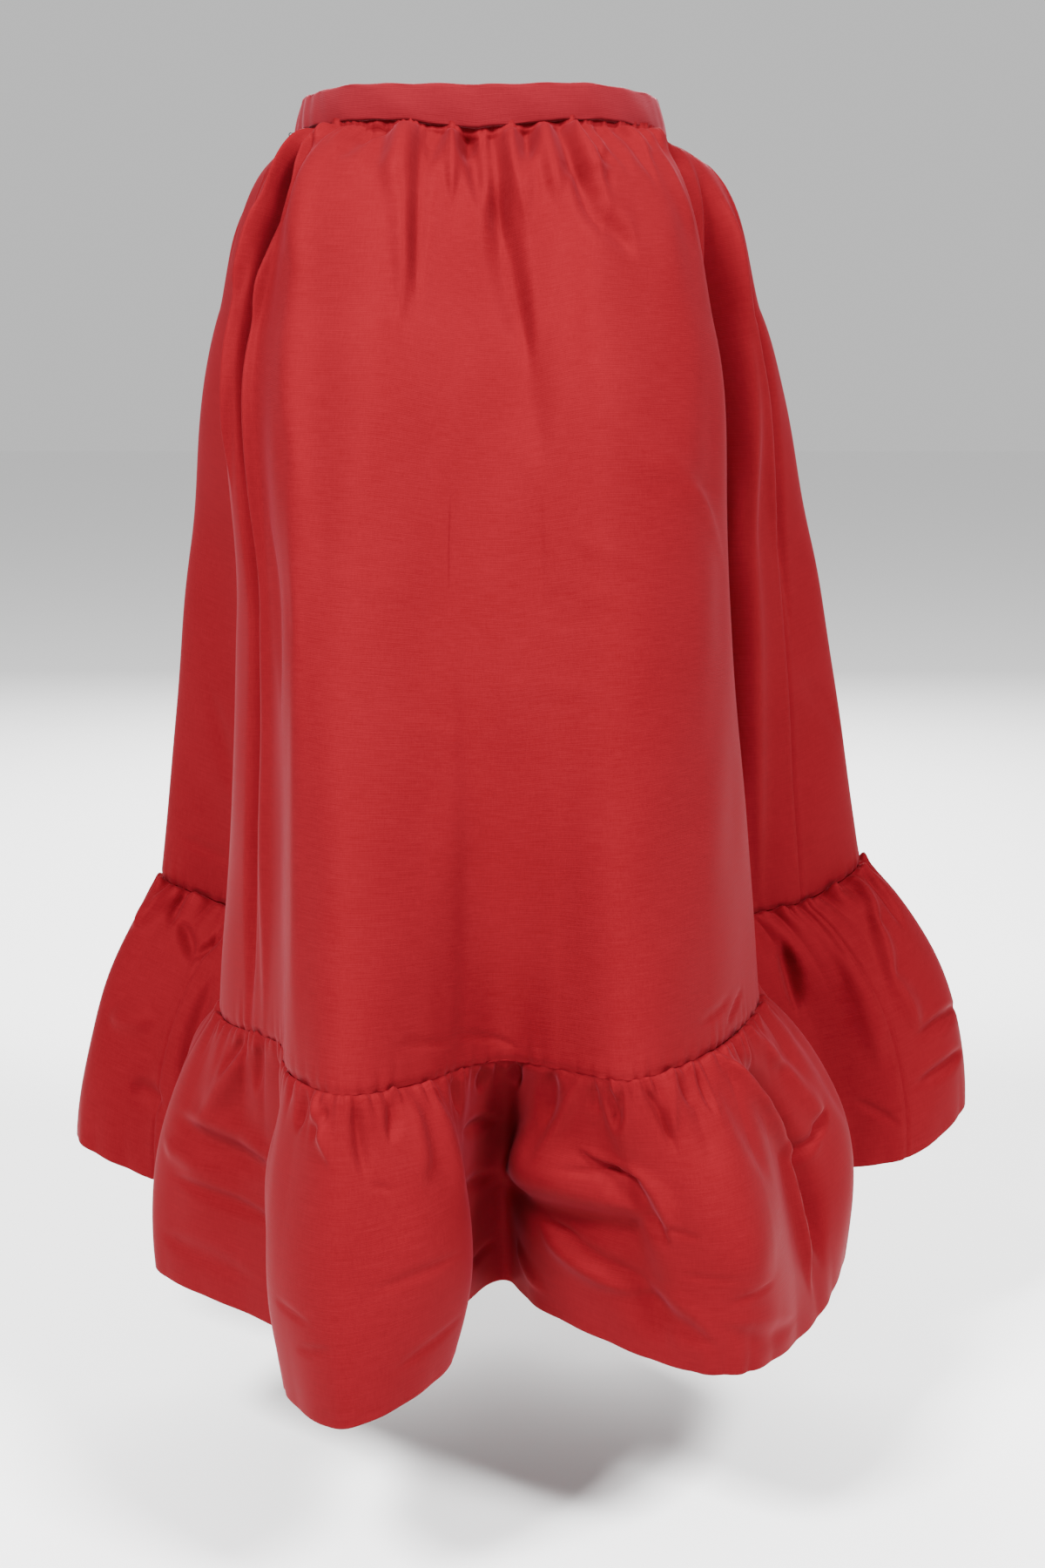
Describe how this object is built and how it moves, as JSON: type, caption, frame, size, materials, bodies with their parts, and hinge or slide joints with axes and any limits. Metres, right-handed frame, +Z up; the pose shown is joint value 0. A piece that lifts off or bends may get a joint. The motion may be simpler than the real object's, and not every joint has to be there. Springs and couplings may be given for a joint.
{
  "type": "maxi skirt",
  "caption": "Long gathered skirt with a plain waistband, deep soft side folds and a full gathered ruffle at the hem, in plain red ribbed cloth.",
  "frame": {"origin": "centre of the waistband at half its height, where the wearer's waist holds the skirt up", "axes": "+Z up along the wearer's body, -Y out of the front, +X to the picture's right, which is the wearer's left"},
  "size_m": [0.7742, 0.6481, 0.909],
  "materials": {
    "band_cloth": "silky, finely ribbed",
    "front_cloth": "silky, finely ribbed",
    "back_cloth": "silky, finely ribbed",
    "ruffle_front_cloth": "silky, finely ribbed",
    "ruffle_back_cloth": "silky, finely ribbed",
    "hook_metal": "dark plated wire"
  },
  "bodies": {
    "root": {"waistband": "band_cloth", "skirt_front": "front_cloth", "skirt_back": "back_cloth", "ruffle_front": "ruffle_front_cloth", "ruffle_back": "ruffle_back_cloth", "hook": "hook_metal"}
  },
  "joints": []
}
